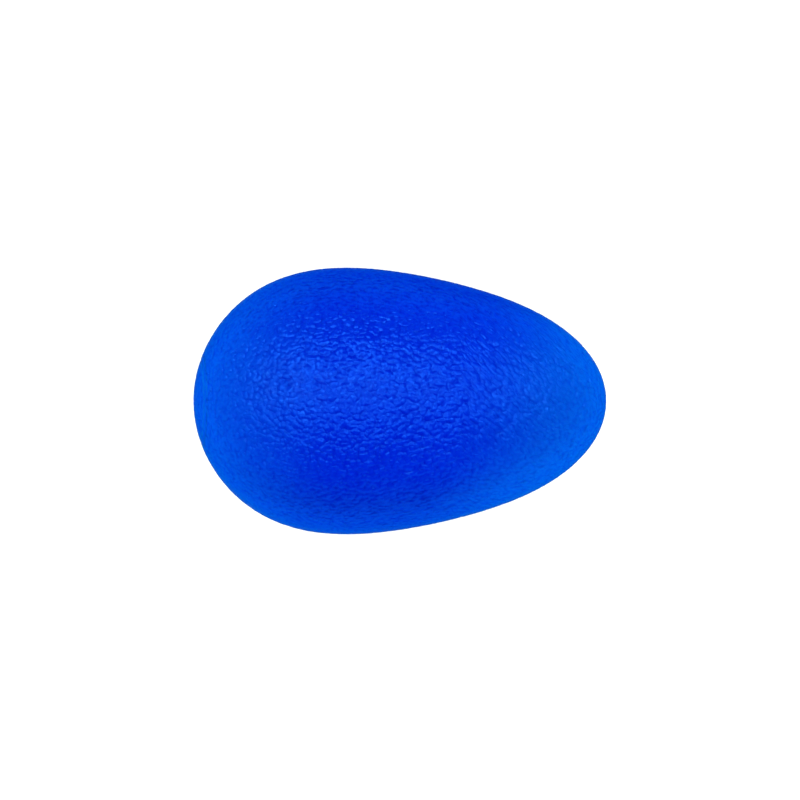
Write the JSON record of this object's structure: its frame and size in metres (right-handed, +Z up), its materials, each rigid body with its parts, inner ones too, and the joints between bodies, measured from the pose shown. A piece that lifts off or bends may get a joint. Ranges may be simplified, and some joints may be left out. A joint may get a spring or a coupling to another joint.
{
  "type": "stress ball",
  "caption": "Egg-shaped translucent blue gel hand squeezer with a leather-grained elastomer skin and a plugged fill port at its blunt end.",
  "frame": {"origin": "centre of the small flat on which the egg rests, on the table's surface", "axes": "+Z up, +X from the blunt end towards the tip, +Y to the left of the tip; the egg's own axis lies in the XZ plane with its tip 8.6 degrees down"},
  "size_m": [0.0632, 0.0406, 0.0407],
  "materials": {
    "skin": "translucent soft elastomer, leather grain, satin",
    "gel": "clear soft gel",
    "plug": "soft elastomer, satin",
    "seal": "clear elastomer adhesive, gloss"
  },
  "bodies": {
    "ball": {"skin": "skin", "gel_core": "gel"},
    "pressed_end": {"fill_plug": "plug", "seal_ring": "seal"}
  },
  "joints": [
    {"name": "end_press", "type": "slide", "parent": "ball", "child": "pressed_end", "axis": [0.9886, 0, -0.1503], "range_m": [0, 0.012], "stiffness_N_per_m": 2500, "deforming": ["skin", "gel_core"]}
  ]
}
